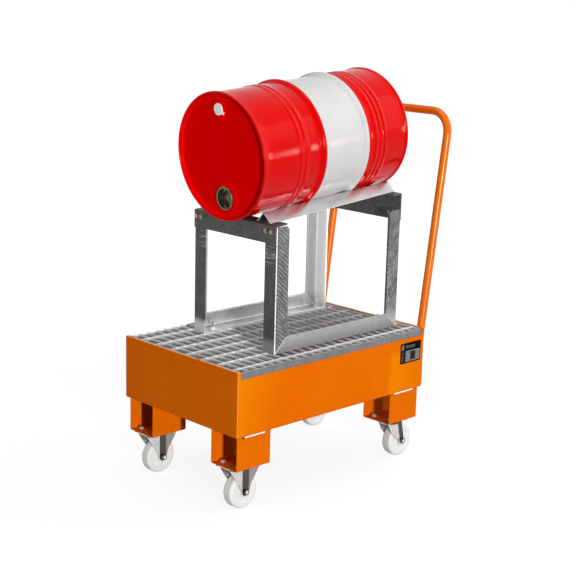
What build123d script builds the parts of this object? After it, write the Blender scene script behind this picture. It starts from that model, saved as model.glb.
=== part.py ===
from build123d import *
import math
import os

# Mobile spill tray with a drum stand and a 60 litre drum. Lengths in millimetres, angles in degrees.
# +X runs along the tray to the push handle, -Y is the left side for someone pushing, +Z is up.
# The origin lies on the floor under the middle of the whole trolley.

# Tray pan, folded from sheet
tray_length = 808.0
tray_width = 520.0
pan_depth = 174.5
end_rise = 23.0
sheet = 3.0
pan_bend = 5.0
rest_flange = 24.0
end_return = 11.0

# Feet, folded channels under the pan
foot_length = 131.0
foot_width = 113.5
foot_height = 106.5
foot_inset_x = 10.5
foot_inset_y = 10.5
foot_bend = 5.0
slot_length = 92.0
slot_height = 9.0

# Casters
caster_height = 137.2
wheel_radius = 53.8
wheel_width = 36.0
shoulder_radius = 9.0
dish_inner = 21.0
dish_outer = 37.0
dish_depth = 1.5
parting_groove = 0.8
hub_length = 41.4
hub_radius = 17.0
fixed_plate_length = 128.0
swivel_plate_length = 104.0
plate_width = 85.0
plate_thickness = 3.0
plate_corner = 8.0
bolt_span_x = 80.0
bolt_span_y = 64.0
fork_gap = 42.0
fork_sheet = 2.5
rib_height = 2.0
fork_foot_radius = 16.0
fixed_shoulder = 126.0
fixed_waist = 84.0
fixed_waist_rise = 48.5
fixed_neck = 46.0
fixed_neck_rise = 23.5
fixed_rib_width = 27.0
swivel_trail = 39.0
swivel_front = 29.0
swivel_rear = 35.0
swivel_waist = 14.0
swivel_waist_rise = 39.0
swivel_neck = 7.5
swivel_neck_rise = 12.0
swivel_rib_width = 21.0
crown_radius = 33.0
collar_inner = 18.0
collar_outer = 31.0
collar_height = 5.5
ball_radius = 2.7
ball_ring = 25.0
ball_count = 20
king_pin_radius = 6.0
king_head_radius = 11.0
king_head_height = 5.5
axle_tube_radius = 7.5
axle_screw_radius = 5.0
axle_hex_flats = 17.0
axle_head_height = 6.4
axle_nut_height = 8.0

# Fasteners of the casters, the stand and the clamps, all of one size
screw_radius = 4.0
hex_flats = 13.0
head_height = 5.3
nut_height = 6.5
washer_radius = 8.5
washer_thickness = 1.6

# Push handle
tube_radius = 13.45
tube_wall = 2.6
handle_half_width = 225.0
handle_height = 1122.2
handle_bend = 70.0
handle_lean = 7.6
handle_foot_drop = 108.0
handle_standoff = 23.8
gusset_thickness = 4.0
gusset_top_drop = 7.0

# Label plate on the left wall
label_length = 97.0
label_height = 67.0
label_thickness = 0.8
label_from_rear = 17.0
label_below_rim = 14.5

# Grating
grating_height = 20.0
grating_play = 2.0
grating_setback = 1.5
edge_bar = 3.0
bearing_bar = 2.5
bearing_pitch = 33.8
cross_bar = 2.0
cross_bar_depth = 10.0
cross_pitch = 69.8
cross_first = 42.0

# Stand on the grating, bolted from angle iron
stand_length = 540.5
stand_width = 368.0
stand_rear_gap = 55.5
angle_leg = 50.0
angle_thickness = 5.0
angle_root = 5.0
angle_corner = 3.0
post_chamfer = 9.0
post_height = 383.0
front_member_leg = 48.0
rear_member_leg = 38.0
front_member_height = 55.0
rear_member_height = 87.0
member_end_gap = 3.0
bolt_edge = 10.0
bolt_spacing = 23.0
bolt_below_post = 13.0
stud_from_post = 40.0
stud_setback = 44.0
stud_height = 33.0
clamp_length = 58.0
clamp_width = 22.0
clamp_thickness = 4.0

# Saddle ridges, folded strips lying apex up
ridge_leg = 43.0
ridge_sheet = 3.0
ridge_bend = 3.5
ridge_half_spacing = 122.0
ridge_setback = 9.0
saddle_slope = 4.85

# Drum
drum_length = 617.0
drum_overhang = 42.5
drum_radius = 189.0
drum_sheet = 1.2
chime_radius = 193.4
chime_nose = 189.6
chime_inner = 186.0
chime_peak = 12.0
chime_width = 20.0
chime_seat = 8.0
hoop_radius = 198.9
hoop_width = 27.0
front_hoop_setback = 243.0
rear_hoop_setback = 190.0
bead_height = 2.4
bead_width = 10.0
bead_pitch = 20.5
front_bead_setback = 151.0
front_bead_count = 2
rear_bead_setback = 103.5
rear_bead_count = 3
head_recess = 13.0
head_round = 7.0
bung_offset = 125.0
bung_turn = 1.5
bung_radius = 31.5
bung_ring = 3.5
bung_neck = 7.5
bung_depth = 12.0
bung_boss_flats = 98.0
vent_offset = 138.8
vent_turn = 2.8
vent_radius = 14.0
vent_ring = 2.5
vent_neck = 2.5
vent_boss_flats = 58.0
boss_height = 2.5
plug_wall = 3.0
plug_floor = 3.0
plug_lug = 8.0
cap_radius = 18.0
cap_height = 3.5
cap_tab = 8.0
cap_tab_reach = 8.5
cap_tab_turn = 150.0

# Clearances
running_fit = 0.05
body_gap = 0.3
hole_clearance = 0.25

# Levels and places that follow from the sizes
tray_base = caster_height + foot_height
rest_level = tray_base + pan_depth
deck_level = rest_level + grating_height
end_top = rest_level + end_rise
wall_front = -tray_length / 2
wall_rear = tray_length / 2
wall_left = -tray_width / 2
stand_rear = wall_rear - stand_rear_gap
stand_front = stand_rear - stand_length
stand_side = stand_width / 2
post_top = deck_level + post_height
front_member_top = post_top + angle_thickness
saddle_run = stand_length + 2 * angle_thickness
rear_member_top = front_member_top + saddle_run * math.tan(math.radians(saddle_slope))
foot_x = wall_rear - foot_inset_x - foot_length / 2
foot_y = tray_width / 2 - foot_inset_y - foot_width / 2
hole_radius = screw_radius + hole_clearance
axle_hole_radius = axle_screw_radius + hole_clearance
lean_slope = math.tan(math.radians(handle_lean))
handle_top_x = wall_rear + handle_standoff + (handle_height - end_top) * lean_slope
frame_shift = -(wall_front + handle_top_x + tube_radius) / 2

os.makedirs("parts", exist_ok=True)


def save(name, shape):
    export_step(Pos(frame_shift, 0, 0) * shape, f"parts/{name}.step")


def block(x0, x1, y0, y1, z0, z1):
    size = (x1 - x0, y1 - y0, z1 - z0)
    middle = ((x0 + x1) / 2, (y0 + y1) / 2, (z0 + z1) / 2)
    return Pos(*middle) * Box(*size)


def rod_z(x, y, z0, z1, radius):
    return Pos(x, y, (z0 + z1) / 2) * Cylinder(radius, z1 - z0)


def rod_y(x, z, y0, y1, radius):
    return Pos(x, (y0 + y1) / 2, z) * Rot(90, 0, 0) * Cylinder(radius, y1 - y0)


def rod_x(y, z, x0, x1, radius):
    return Pos((x0 + x1) / 2, y, z) * Rot(0, 90, 0) * Cylinder(radius, x1 - x0)


def group(shapes):
    return Compound(children=list(shapes))


def plate_in_xz(points, y0, y1):
    # A flat plate with the given (x, z) outline, from y0 to y1.
    face = make_face(Polyline(*[(x, y0, z) for x, z in points], close=True))
    return extrude(face, amount=y1 - y0, dir=(0, 1, 0))


def hexagon(flats, height):
    # A hexagonal prism standing on the XY plane, with chamfered corners on its far end.
    prism = extrude(RegularPolygon(flats / 2, 6, major_radius=False), amount=height)
    corner = flats / math.sqrt(3)
    bevel = (corner - flats / 2) * 0.9
    low = (Align.CENTER, Align.CENTER, Align.MIN)
    cone = Cone(corner - bevel + 2 * height, corner - bevel, height, align=low)
    return prism & cone


def hex_bolt(length, radius=screw_radius, flats=hex_flats, height=head_height):
    # Head below the XY plane, shank up along +Z, so the plane is the seat.
    head = Rot(180, 0, 0) * hexagon(flats, height)
    return head + extrude(Circle(radius), amount=length)


def hex_nut(radius=screw_radius, flats=hex_flats, height=nut_height):
    return hexagon(flats, height) - Cylinder(radius, 3 * height)


def washer():
    return extrude(Circle(washer_radius) - Circle(screw_radius), amount=washer_thickness)


def vertical_edges(shape, x=None, y=None):
    # Edges along Z, at the given x or y if one is given.
    edges = shape.edges().filter_by(Axis.Z)
    if x is not None:
        edges = edges.filter_by(lambda e: abs(e.center().X - x) < 0.01)
    if y is not None:
        edges = edges.filter_by(lambda e: abs(e.center().Y - y) < 0.01)
    return edges


# Tray pan


def make_pan():
    outer = block(wall_front, wall_rear, wall_left, -wall_left, tray_base, rest_level)
    outer = fillet(outer.edges().filter_by(Axis.Z), pan_bend)
    outer = fillet(outer.faces().sort_by(Axis.Z)[0].edges(), pan_bend)
    hollow = block(
        wall_front + sheet,
        wall_rear - sheet,
        wall_left + sheet,
        -wall_left - sheet,
        tray_base + sheet,
        end_top,
    )
    hollow = fillet(hollow.edges().filter_by(Axis.Z), pan_bend - sheet)
    hollow = fillet(hollow.faces().sort_by(Axis.Z)[0].edges(), pan_bend - sheet)
    pan = outer - hollow
    for side in (-1, 1):
        inner_edge = side * (tray_width / 2 - rest_flange)
        outer_edge = side * (tray_width / 2 - sheet)
        pan += block(
            wall_front + sheet,
            wall_rear - sheet,
            min(inner_edge, outer_edge),
            max(inner_edge, outer_edge),
            rest_level - sheet,
            rest_level,
        )
    for side in (-1, 1):
        pan += make_end_hood(side)
    return pan


def make_end_hood(side):
    # Raised end wall with its top return and its edges folded round both corners.
    outer_x = side * tray_length / 2
    inner_x = outer_x - side * end_return
    hood = block(
        min(outer_x, inner_x), max(outer_x, inner_x), wall_left, -wall_left, rest_level, end_top
    )
    hood = fillet(vertical_edges(hood, x=outer_x), pan_bend)
    top_edge = hood.faces().sort_by(Axis.Z)[-1].edges()
    top_edge = top_edge.filter_by(Axis.Y).filter_by(lambda e: abs(e.center().X - outer_x) < 0.01)
    hood = fillet(top_edge, sheet)
    wall_x = outer_x - side * sheet
    beyond = inner_x - side * sheet
    hollow = block(
        min(wall_x, beyond),
        max(wall_x, beyond),
        wall_left + sheet,
        -wall_left - sheet,
        rest_level - sheet,
        end_top - sheet,
    )
    hollow = fillet(vertical_edges(hollow, x=wall_x), pan_bend - sheet)
    return hood - hollow


# Feet and casters


def make_foot(x, side):
    y = side * foot_y
    half_x = foot_length / 2
    half_y = foot_width / 2
    channel = block(x - half_x, x + half_x, y - half_y, y + half_y, caster_height, tray_base)
    lower = channel.faces().sort_by(Axis.Z)[0].edges().filter_by(Axis.X)
    channel = fillet(lower, foot_bend)
    hollow = block(
        x - foot_length,
        x + foot_length,
        y - half_y + sheet,
        y + half_y - sheet,
        caster_height + sheet,
        tray_base + sheet,
    )
    hollow = fillet(hollow.faces().sort_by(Axis.Z)[0].edges().filter_by(Axis.X), foot_bend - sheet)
    foot = channel - hollow
    outer_y = y + side * (half_y - sheet / 2)
    foot -= block(
        x - slot_length / 2,
        x + slot_length / 2,
        outer_y - sheet,
        outer_y + sheet,
        tray_base - slot_height,
        tray_base + sheet,
    )
    for hole_x, hole_y in caster_holes(x, y):
        foot -= rod_z(hole_x, hole_y, caster_height - sheet, caster_height + 2 * sheet, hole_radius)
    return foot


def caster_holes(x, y):
    return [
        (x + i * bolt_span_x / 2, y + j * bolt_span_y / 2)
        for i in (-1, 1)
        for j in (-1, 1)
    ]


def make_caster_plate(x, y, length):
    low = caster_height - plate_thickness
    half_x = length / 2
    half_y = plate_width / 2
    plate = block(x - half_x, x + half_x, y - half_y, y + half_y, low, caster_height)
    plate = fillet(plate.edges().filter_by(Axis.Z), plate_corner)
    for hole_x, hole_y in caster_holes(x, y):
        plate -= rod_z(hole_x, hole_y, low - sheet, caster_height + sheet, hole_radius)
    return plate


def make_fork_leg(y, side, front_edge, rear_edge, axle_x, rib_top, rib_width):
    # One pressed leg: a tapered plate, round at the axle, with a raised rib along its middle.
    # Both edges are (x, z) points from the top down.
    inner = y + side * fork_gap / 2
    outer = inner + side * fork_sheet
    proud = outer + side * rib_height
    y0, y1 = min(inner, outer), max(inner, outer)
    radius = fork_foot_radius
    foot_edge = [(axle_x - radius, wheel_radius), (axle_x + radius, wheel_radius)]
    outline = front_edge + foot_edge + rear_edge[::-1]
    leg = plate_in_xz(outline, y0, y1) + rod_y(axle_x, wheel_radius, y0, y1, radius)
    top = front_edge[0][1]
    r0, r1 = min(inner, proud), max(inner, proud)
    half = rib_width / 2
    rib_outline = [
        (rib_top - half, top),
        (rib_top + half, top),
        (axle_x + half, wheel_radius),
        (axle_x - half, wheel_radius),
    ]
    rib = plate_in_xz(rib_outline, r0, r1) + rod_y(axle_x, wheel_radius, r0, r1, half)
    face = rib.faces().filter_by(Axis.Y).sort_by(Axis.Y)[-1 if side > 0 else 0]
    rib = chamfer(face.edges(), rib_height * 0.8)
    leg = leg + rib
    return leg - rod_y(axle_x, wheel_radius, r0 - fork_sheet, r1 + fork_sheet, axle_hole_radius)


def make_fixed_fork(side):
    x, y = -foot_x, side * foot_y
    fork = make_caster_plate(x, y, fixed_plate_length)
    edge = [
        (fixed_shoulder / 2, caster_height - plate_thickness / 2),
        (fixed_waist / 2, wheel_radius + fixed_waist_rise),
        (fixed_neck / 2, wheel_radius + fixed_neck_rise),
    ]
    front_edge = [(x - reach, z) for reach, z in edge]
    rear_edge = [(x + reach, z) for reach, z in edge]
    for leg_side in (-1, 1):
        fork += make_fork_leg(y, leg_side, front_edge, rear_edge, x, x, fixed_rib_width)
    return fork


def swivel_levels():
    # Heights in the swivel head, from the plate down: collar end, crown top, crown underside.
    collar_low = caster_height - plate_thickness - collar_height
    crown_top = collar_low - 2 * ball_radius - 3 * running_fit
    return collar_low, crown_top, crown_top - plate_thickness


def make_swivel_plate(side):
    x, y = foot_x, side * foot_y
    collar_low, _, _ = swivel_levels()
    plate_low = caster_height - plate_thickness
    collar = rod_z(x, y, collar_low, plate_low, collar_outer)
    collar -= rod_z(x, y, collar_low, plate_low, collar_inner)
    plate = make_caster_plate(x, y, swivel_plate_length) + collar
    return plate - rod_z(x, y, collar_low, caster_height, king_pin_radius)


def make_swivel_fork(side):
    x, y = foot_x, side * foot_y
    _, crown_top, crown_low = swivel_levels()
    width = fork_gap / 2 + fork_sheet
    fork = block(x - swivel_front, x + swivel_rear, y - width, y + width, crown_low, crown_top)
    fork += rod_z(x, y, crown_low, crown_top, crown_radius)
    axle_x = x + swivel_trail
    front_edge = [(x - swivel_front, crown_top), (x - swivel_waist, wheel_radius + swivel_waist_rise)]
    rear_edge = [(x + swivel_rear, crown_top), (axle_x + swivel_neck, wheel_radius + swivel_neck_rise)]
    rib_top = x + swivel_rear - swivel_rib_width / 2
    for leg_side in (-1, 1):
        fork += make_fork_leg(y, leg_side, front_edge, rear_edge, axle_x, rib_top, swivel_rib_width)
    pin_hole = king_pin_radius + running_fit
    return fork - rod_z(x, y, crown_low - fork_sheet, crown_top + fork_sheet, pin_hole)


def make_king_pin(side):
    x, y = foot_x, side * foot_y
    _, _, crown_low = swivel_levels()
    head_top = crown_low - body_gap
    head = rod_z(x, y, head_top - king_head_height, head_top, king_head_radius)
    head = fillet(head.edges().sort_by(Axis.Z)[0], king_head_height / 2)
    return head + rod_z(x, y, head_top, caster_height, king_pin_radius)


def make_swivel_balls(side):
    x, y = foot_x, side * foot_y
    _, crown_top, _ = swivel_levels()
    z = crown_top + running_fit + ball_radius
    ring = []
    for i in range(ball_count):
        turn = 2 * math.pi * i / ball_count
        place = Pos(x + ball_ring * math.cos(turn), y + ball_ring * math.sin(turn), z)
        ring.append(place * Sphere(ball_radius))
    return group(ring)


def make_wheel(axle_x, side):
    # A solid wheel turned about Y: flat faces with a shallow dish, round shoulders and a parting groove.
    half = wheel_width / 2
    tread = half - shoulder_radius
    face_radius = wheel_radius - shoulder_radius
    bore = axle_tube_radius + running_fit
    hub = hub_length / 2
    groove = parting_groove
    bow = shoulder_radius * math.sqrt(0.5)
    face = Polyline(
        (0, bore),
        (hub, bore),
        (hub, hub_radius),
        (half, hub_radius),
        (half, dish_inner),
        (half - dish_depth, dish_inner + dish_depth),
        (half - dish_depth, dish_outer - dish_depth),
        (half, dish_outer),
        (half, face_radius),
    )
    shoulder_mid = (tread + bow, face_radius + bow)
    shoulder = ThreePointArc((half, face_radius), shoulder_mid, (tread, wheel_radius))
    crown = Polyline((tread, wheel_radius), (groove, wheel_radius), (0, wheel_radius - groove), (0, bore))
    half_section = make_face([face, shoulder, crown])
    half_wheel = revolve(half_section, Axis.X)
    wheel = half_wheel + mirror(half_wheel, Plane.YZ)
    return Pos(axle_x, side * foot_y, wheel_radius) * Rot(0, 0, 90) * wheel


def make_axle_tube(axle_x, side):
    y = side * foot_y
    half = fork_gap / 2
    tube = rod_y(axle_x, wheel_radius, y - half, y + half, axle_tube_radius)
    return tube - rod_y(axle_x, wheel_radius, y - half, y + half, axle_hole_radius)


def axle_seat():
    return fork_gap / 2 + fork_sheet + rib_height


def make_axle_bolt(axle_x, side):
    # The head is on the outer side of the trolley.
    y = side * foot_y
    seat = axle_seat()
    length = 2 * seat + axle_nut_height + rib_height
    bolt = hex_bolt(length, axle_screw_radius, axle_hex_flats, axle_head_height)
    return Pos(axle_x, y + side * seat, wheel_radius) * Rot(side * 90, 0, 0) * bolt


def make_axle_nut(axle_x, side):
    nut = hex_nut(axle_screw_radius, axle_hex_flats, axle_nut_height)
    place = Pos(axle_x, side * (foot_y - axle_seat()), wheel_radius)
    return place * Rot(side * 90, 0, 0) * nut


def make_caster_fasteners():
    bolts, washers, nuts = [], [], []
    under = caster_height - plate_thickness
    above = caster_height + sheet
    for x in (-foot_x, foot_x):
        for y in (-foot_y, foot_y):
            for hole_x, hole_y in caster_holes(x, y):
                washers.append(Pos(hole_x, hole_y, above) * washer())
                seat = above + washer_thickness
                length = seat - under + nut_height
                bolts.append(Pos(hole_x, hole_y, seat) * Rot(180, 0, 0) * hex_bolt(length))
                nuts.append(Pos(hole_x, hole_y, under) * Rot(180, 0, 0) * hex_nut())
    return group(bolts), group(washers), group(nuts)


# Push handle


def tube_axis_x(z):
    return wall_rear + handle_standoff + (z - end_top) * lean_slope


def handle_sweep(radius):
    foot_z = end_top - handle_foot_drop
    rise = (handle_height - foot_z) / math.cos(math.radians(handle_lean))
    up = (math.sin(math.radians(handle_lean)), 0, math.cos(math.radians(handle_lean)))
    normal = Vector(0, 1, 0).cross(Vector(*up))
    lean_plane = Plane(origin=(tube_axis_x(foot_z), 0, foot_z), x_dir=(0, 1, 0), z_dir=normal)
    half = handle_half_width
    corners = [(half, 0), (half, rise), (-half, rise), (-half, 0)]
    path = lean_plane * FilletPolyline(*corners, radius=handle_bend)
    start = Plane(origin=path @ 0, z_dir=path % 0)
    return sweep(start * Circle(radius), path=path)


def make_handle():
    tube = handle_sweep(tube_radius) - handle_sweep(tube_radius - tube_wall)
    inside = block(wall_rear - 4 * tube_radius, wall_rear, wall_left, -wall_left, tray_base, end_top)
    return tube - inside


def make_gussets():
    top = end_top - gusset_top_drop
    seat = tube_radius / math.cos(math.radians(handle_lean))
    low = end_top - (handle_standoff - seat) / lean_slope
    outline = [(wall_rear, top), (tube_axis_x(top), top), (tube_axis_x(low), low), (wall_rear, low)]
    tube = handle_sweep(tube_radius)
    gussets = []
    for side in (-1, 1):
        y = side * handle_half_width
        gusset = plate_in_xz(outline, y - gusset_thickness / 2, y + gusset_thickness / 2) - tube
        gussets.append(gusset.solids().sort_by(SortBy.VOLUME)[-1])
    return group(gussets)


def make_label():
    x1 = wall_rear - label_from_rear
    z1 = rest_level - label_below_rim
    plate = block(x1 - label_length, x1, wall_left - label_thickness, wall_left, z1 - label_height, z1)
    return fillet(plate.edges().filter_by(Axis.Y), 2 * label_thickness)


# Grating


def stud_places():
    places = []
    for x in (stand_front + stud_from_post, stand_rear - stud_from_post):
        for side in (-1, 1):
            places.append((x, side * (stand_side - stud_setback)))
    return places


def make_grating():
    # Press-locked: four edge bars, notched bearing bars across and cross bars lying in the notches.
    half_x = tray_length / 2 - end_return - grating_play
    half_y = tray_width / 2 - grating_setback
    inner_x = half_x - edge_bar
    inner_y = half_y - edge_bar
    edges = [
        block(-half_x, half_x, -half_y, -inner_y, rest_level, deck_level),
        block(-half_x, half_x, inner_y, half_y, rest_level, deck_level),
        block(-half_x, -inner_x, -inner_y, inner_y, rest_level, deck_level),
        block(inner_x, half_x, -inner_y, inner_y, rest_level, deck_level),
    ]
    crossing = []
    y = -half_y + cross_first
    low = deck_level - cross_bar_depth
    while y < inner_y - cross_bar:
        crossing.append(block(-inner_x, inner_x, y - cross_bar / 2, y + cross_bar / 2, low, deck_level))
        y += cross_pitch
    bearing = []
    steps = round(2 * half_x / bearing_pitch)
    pitch = (2 * half_x - edge_bar) / steps
    for i in range(1, steps):
        x = -half_x + edge_bar / 2 + i * pitch
        bar = block(x - bearing_bar / 2, x + bearing_bar / 2, -inner_y, inner_y, rest_level, deck_level)
        bearing.append(bar.cut(*crossing))
    bars = edges + crossing + bearing
    for x, y in stud_places():
        hole = rod_z(x, y, rest_level - edge_bar, deck_level + edge_bar, hole_radius)
        bars = [bar - hole for bar in bars]
    return group(bars)


# Stand


def nearest_vertex(section, x, y):
    return section.vertices().sort_by_distance((x, y, 0))[0]


def angle_bar(length):
    # An angle iron along +Z from the XY plane: apex at the origin, one leg along +X, one along +Y.
    leg, thick = angle_leg, angle_thickness
    outline = Polyline((0, 0), (leg, 0), (leg, thick), (thick, thick), (thick, leg), (0, leg), close=True)
    section = make_face(outline)
    section = fillet(nearest_vertex(section, thick, thick), angle_root)
    section = fillet(nearest_vertex(section, leg, thick), angle_thickness / 2)
    section = fillet(nearest_vertex(section, thick, leg), angle_thickness / 2)
    section = fillet(nearest_vertex(section, 0, 0), angle_corner)
    return extrude(section, amount=length)


def mitre_wedge(x, inward):
    # Everything below the 45 degree plane through the base corner at x, on the inward side.
    reach = 3 * angle_leg
    outline = [
        (x, deck_level),
        (x + inward * reach, deck_level + reach),
        (x + inward * reach, deck_level - reach),
        (x, deck_level - reach),
    ]
    return plate_in_xz(outline, -stand_width, stand_width)


def bolt_places(side):
    first = stand_side - angle_leg + bolt_edge
    return [side * first, side * (first + bolt_spacing)]


def make_post(x, inward, side):
    # Apex at the stand's corner, both legs running inwards, mitred at the foot.
    wedge = top_corner_wedge()
    bar = angle_bar(post_height) - wedge - Rot(0, 0, 90) * mirror(wedge, Plane.XZ)
    bar = Pos(x, side * stand_side, deck_level) * bar_turn(inward, -side) * bar
    bar -= mitre_wedge(x, inward)
    bolt_z = post_top - bolt_below_post
    for y in bolt_places(side):
        bar -= rod_x(y, bolt_z, x - angle_leg, x + angle_leg, hole_radius)
    return bar


def top_corner_wedge():
    # The chamfer on the upper free corner of the leg along X, in the angle bar's own frame.
    cut = post_chamfer
    outline = [
        (angle_leg - cut, post_height),
        (angle_leg + cut, post_height - 2 * cut),
        (angle_leg + cut, post_height + cut),
        (angle_leg - cut, post_height + cut),
    ]
    return plate_in_xz(outline, -angle_leg / 2, angle_leg / 2)


def bar_turn(x_way, y_way):
    # Turns the angle bar so that its legs run the given ways along X and Y.
    if x_way > 0 and y_way > 0:
        return Rot(0, 0, 0)
    if x_way < 0 and y_way > 0:
        return Rot(0, 0, 90)
    if x_way < 0 and y_way < 0:
        return Rot(0, 0, 180)
    return Rot(0, 0, 270)


def make_rail(side):
    # Base rail along X: one leg upright at the stand's side, the other flat on the grating.
    bar = angle_bar(stand_length)
    bar = Rot(0, 90, 0) * Rot(0, 0, 90) * bar
    if side > 0:
        bar = mirror(bar, Plane.XZ)
    bar = Pos(stand_front, side * stand_side, deck_level) * bar
    for x, inward in ((stand_front, 1), (stand_rear, -1)):
        bar -= rail_end(x, inward)
    for x, y in stud_places():
        bar -= rod_z(x, y, deck_level - angle_leg, deck_level + angle_thickness + sheet, hole_radius)
    return bar


def rail_end(x, inward):
    # Everything above the 45 degree plane, which belongs to the post.
    reach = 3 * angle_leg
    outline = [
        (x, deck_level),
        (x + inward * reach, deck_level + reach),
        (x - inward * reach, deck_level + reach),
        (x - inward * reach, deck_level),
    ]
    return plate_in_xz(outline, -stand_width, stand_width)


def make_cross_member(x, inward, height, top, leg):
    # Unequal angle outside the posts: the upright leg lies against them, and the top leg is folded
    # inwards along the saddle's slope.
    half = stand_side - member_end_gap
    outer = x - inward * angle_thickness
    upright = block(min(outer, x), max(outer, x), -half, half, top - height, top - angle_thickness)
    rise = inward * leg * math.tan(math.radians(saddle_slope))
    edge = outer + inward * leg
    shelf_outline = [
        (outer, top),
        (edge, top + rise),
        (edge, top + rise - angle_thickness),
        (x, top - angle_thickness),
        (outer, top - angle_thickness),
    ]
    member = upright + plate_in_xz(shelf_outline, -half, half)
    heel = member.edges().filter_by(Axis.Y).sort_by_distance((outer, 0, top))[0]
    member = fillet(heel, angle_thickness / 2)
    bolt_z = post_top - bolt_below_post
    for side in (-1, 1):
        for y in bolt_places(side):
            member -= rod_x(y, bolt_z, x - angle_leg, x + angle_leg, hole_radius)
    return member


def make_frame_fasteners():
    bolts, washers, nuts = [], [], []
    z = post_top - bolt_below_post
    for x, inward in ((stand_front, 1), (stand_rear, -1)):
        for side in (-1, 1):
            for y in bolt_places(side):
                face = x - inward * angle_thickness
                back = x + inward * angle_thickness
                turn = Rot(0, 90 * inward, 0)
                washers.append(Pos(face - inward * washer_thickness, y, z) * turn * washer())
                length = washer_thickness + 2 * angle_thickness + nut_height + sheet
                bolts.append(Pos(face - inward * washer_thickness, y, z) * turn * hex_bolt(length))
                nuts.append(Pos(back, y, z) * turn * hex_nut())
    return group(bolts), group(washers), group(nuts)


def make_clamp_fasteners():
    studs, washers, nuts, plates = [], [], [], []
    top = deck_level + angle_thickness
    for x, y in stud_places():
        low = rest_level - clamp_thickness - nut_height
        studs.append(rod_z(x, y, low, top + stud_height, screw_radius))
        washers.append(Pos(x, y, top) * washer())
        nuts.append(Pos(x, y, top + washer_thickness) * hex_nut())
        nuts.append(Pos(x, y, rest_level - clamp_thickness) * Rot(180, 0, 0) * hex_nut())
        plate = block(
            x - clamp_length / 2,
            x + clamp_length / 2,
            y - clamp_width / 2,
            y + clamp_width / 2,
            rest_level - clamp_thickness,
            rest_level,
        )
        plates.append(plate - rod_z(x, y, low, rest_level + sheet, screw_radius))
    return group(studs), group(washers), group(nuts), group(plates)


# Saddle and drum, which both slope down to the front


def saddle_frame():
    # A place at the front shelf's heel, mid width, with local X rising along the slope.
    return Pos(stand_front - angle_thickness, 0, front_member_top) * Rot(0, -saddle_slope, 0)


def ridge_toe_depth():
    return (ridge_leg + ridge_sheet) / math.sqrt(2)


def make_ridge(side):
    # Folded strip, apex up, with its toes on the shelves.
    length = saddle_run / math.cos(math.radians(saddle_slope)) - ridge_setback
    leg, thick = ridge_leg, ridge_sheet
    outline = Polyline((0, 0), (leg, 0), (leg, thick), (thick, thick), (thick, leg), (0, leg), close=True)
    section = make_face(outline)
    section = fillet(nearest_vertex(section, 0, 0), ridge_bend)
    strip = extrude(section, amount=length)
    upright = Rot(0, 90, 0) * Rot(0, 0, -45) * strip
    place = Pos(ridge_setback, side * ridge_half_spacing, ridge_toe_depth())
    return saddle_frame() * place * upright


def drum_axis_height():
    # The hoops lie on the rounded apexes of both ridges, a hair above them.
    apex_centre = ridge_toe_depth() - ridge_bend * math.sqrt(2)
    reach = hoop_radius + ridge_bend + body_gap
    return apex_centre + math.sqrt(reach**2 - ridge_half_spacing**2)


def drum_frame():
    # Origin in the middle of the front rim, local X along the drum's axis.
    return saddle_frame() * Pos(-drum_overhang, 0, drum_axis_height())


def bump(middle, width, base, peak):
    # A rounded rib in the wall's outline, as an arc between two points on the wall.
    return ThreePointArc((middle - width / 2, base), (middle, peak), (middle + width / 2, base))


def wall_outline(base, first, last):
    # The shell's wall in (axial, radius), with hoops and beads raised from the given base radius.
    hoop_rise = hoop_radius - drum_radius
    # The front ones are set back from the front rim and the rear ones from the rear rim.
    rear_hoop = drum_length - rear_hoop_setback
    ribs = [(front_hoop_setback, hoop_width, hoop_rise), (rear_hoop, hoop_width, hoop_rise)]
    for i in range(front_bead_count):
        ribs.append((front_bead_setback + i * bead_pitch, bead_width, bead_height))
    for i in range(rear_bead_count):
        ribs.append((drum_length - rear_bead_setback - i * bead_pitch, bead_width, bead_height))
    pieces = []
    at = first
    for middle, width, height in sorted(ribs):
        pieces.append(Line((at, base), (middle - width / 2, base)))
        pieces.append(bump(middle, width, base, base + height))
        at = middle + width / 2
    pieces.append(Line((at, base), (last, base)))
    return pieces


def chime_face():
    # The rolled rim's section at the front end, in (axial, radius).
    inner = drum_radius - drum_sheet
    middle = chime_peak * 0.35
    swell = chime_nose + (chime_radius - chime_nose) * 0.62
    nose = ThreePointArc((0, chime_nose), (middle, swell), (chime_peak, chime_radius))
    back_mid = ((chime_peak + chime_width) / 2 + 1, (chime_radius + drum_radius) / 2 + 1)
    back = ThreePointArc((chime_peak, chime_radius), back_mid, (chime_width, drum_radius))
    seat = Polyline(
        (chime_width, drum_radius), (chime_width, inner), (chime_seat, inner), (chime_seat, chime_inner)
    )
    lip_mid = (chime_seat * 0.2, (chime_nose + chime_inner) / 2 - 1)
    lip = ThreePointArc((chime_seat, chime_inner), lip_mid, (0, chime_nose))
    return make_face([nose, back, seat, lip])


def make_drum_shell():
    inner = drum_radius - drum_sheet
    first = chime_width
    last = drum_length - chime_width
    outer_line = wall_outline(drum_radius, first, last)
    inner_line = wall_outline(inner, first, last)
    ends = [Line((first, inner), (first, drum_radius)), Line((last, inner), (last, drum_radius))]
    shell = revolve(make_face([*outer_line, *inner_line, *ends]), Axis.X)
    chime = revolve(chime_face(), Axis.X)
    shell = shell + chime + Pos(drum_length, 0, 0) * mirror(chime, Plane.YZ)
    return drum_frame() * shell


def head_blank():
    # A recessed head: a disc with a rounded step up to the chime's seat.
    outer = drum_radius - drum_sheet
    back = head_recess + drum_sheet
    step_mid = (head_recess - (head_recess - chime_seat) * 0.3, chime_inner - head_round * 0.3)
    step = ThreePointArc((head_recess, chime_inner - head_round), step_mid, (chime_seat, chime_inner))
    rest = Polyline(
        (chime_seat, chime_inner),
        (chime_seat, outer),
        (back, outer),
        (back, 0),
        (head_recess, 0),
        (head_recess, chime_inner - head_round),
    )
    return revolve(make_face([step, rest]), Axis.X)


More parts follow.
